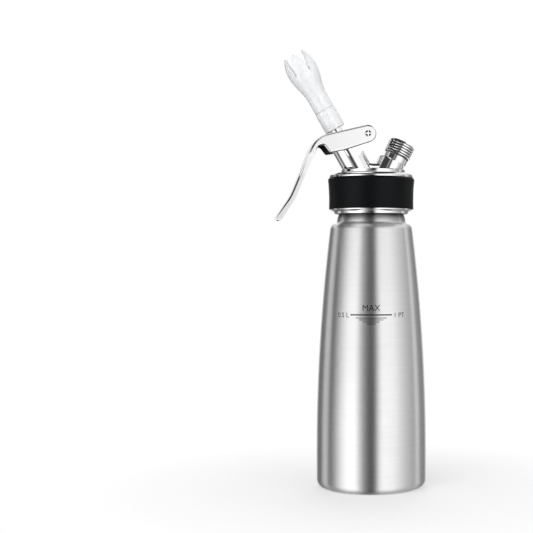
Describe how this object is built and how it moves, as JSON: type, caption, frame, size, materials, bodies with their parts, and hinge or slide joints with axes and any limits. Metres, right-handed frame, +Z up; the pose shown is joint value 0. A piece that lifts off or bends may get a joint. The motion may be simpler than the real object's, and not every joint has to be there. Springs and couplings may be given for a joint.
{
  "type": "whipped cream dispenser",
  "caption": "Tall tapering steel bottle with a screw-on lever head, a leaning slotted tulip nozzle, a black grip band and a threaded charging nipple.",
  "frame": {"origin": "centre of the circle the bottle stands on, on the bottle's own axis", "axes": "+Z up the bottle, -X towards the lever's handle and the nozzle, +X towards the charging nipple"},
  "size_m": [0.1105, 0.0798, 0.3165],
  "materials": {
    "brushed_steel": "brushed",
    "polished_steel": "polished",
    "spring_steel": "bright",
    "black_silicone": "satin",
    "seal_rubber": "matte",
    "white_plastic": "translucent gloss",
    "white_nylon": "matte"
  },
  "bodies": {
    "bottle": {"bottle": "brushed_steel"},
    "gasket": {"head_gasket": "seal_rubber"},
    "head": {"head": "polished_steel", "grip_band": "black_silicone", "charger_nipple": "polished_steel", "nipple_ring": "seal_rubber", "charger_gasket": "seal_rubber", "piercing_pin": "spring_steel", "check_spring": "spring_steel", "return_spring": "spring_steel"},
    "lever": {"lever": "polished_steel", "pivot_sleeve": "spring_steel", "pivot_screws": "polished_steel", "pivot_washers": "white_nylon"},
    "stem": {"outlet_stem": "polished_steel", "valve_seal": "seal_rubber", "stem_rings": "seal_rubber", "lever_collar": "polished_steel"},
    "nozzle_washer": {"nozzle_seal": "seal_rubber"},
    "nozzle": {"nozzle": "white_plastic", "nozzle_insert": "spring_steel"},
    "check_valve": {"check_poppet": "spring_steel", "check_seal": "seal_rubber"}
  },
  "joints": [
    {"name": "head_lift", "type": "slide", "parent": "bottle", "child": "gasket", "axis": [0, 0, 1], "range_m": [0, 0.0121]},
    {"name": "head_turn", "type": "hinge", "parent": "gasket", "child": "head", "pos_m": [0, 0, 0.21], "axis": [0, 0, 1], "range_deg": [0, 1440]},
    {"name": "lever_pivot", "type": "hinge", "parent": "head", "child": "lever", "pos_m": [-0.0044, 0, 0.256], "axis": [0, -1, 0], "range_deg": [0, 12], "stiffness_Nm_per_rad": 0.35, "springref_deg": -20.05},
    {"name": "stem_slide", "type": "slide", "parent": "head", "child": "stem", "axis": [0.5, 0, -0.866], "range_m": [0, 0.0037], "deforming": ["return_spring"]},
    {"name": "nozzle_lift", "type": "slide", "parent": "stem", "child": "nozzle_washer", "axis": [-0.5, 0, 0.866], "range_m": [0, 0.0098]},
    {"name": "nozzle_turn", "type": "hinge", "parent": "nozzle_washer", "child": "nozzle", "pos_m": [-0.0346, 0, 0.2739], "axis": [-0.5, 0, 0.866], "range_deg": [0, 2340]},
    {"name": "check_slide", "type": "slide", "parent": "head", "child": "check_valve", "axis": [-0.4384, 0, -0.8988], "range_m": [0, 0.0008], "stiffness_N_per_m": 300, "springref_m": -0.001, "deforming": ["check_spring"]}
  ],
  "couplings": [
    {"joint": "head_lift", "follows": "head_turn", "m_per_rad": 0.00047746},
    {"joint": "stem_slide", "follows": "lever_pivot", "m_per_rad": 0.0175},
    {"joint": "nozzle_lift", "follows": "nozzle_turn", "m_per_rad": 0.00023873}
  ]
}
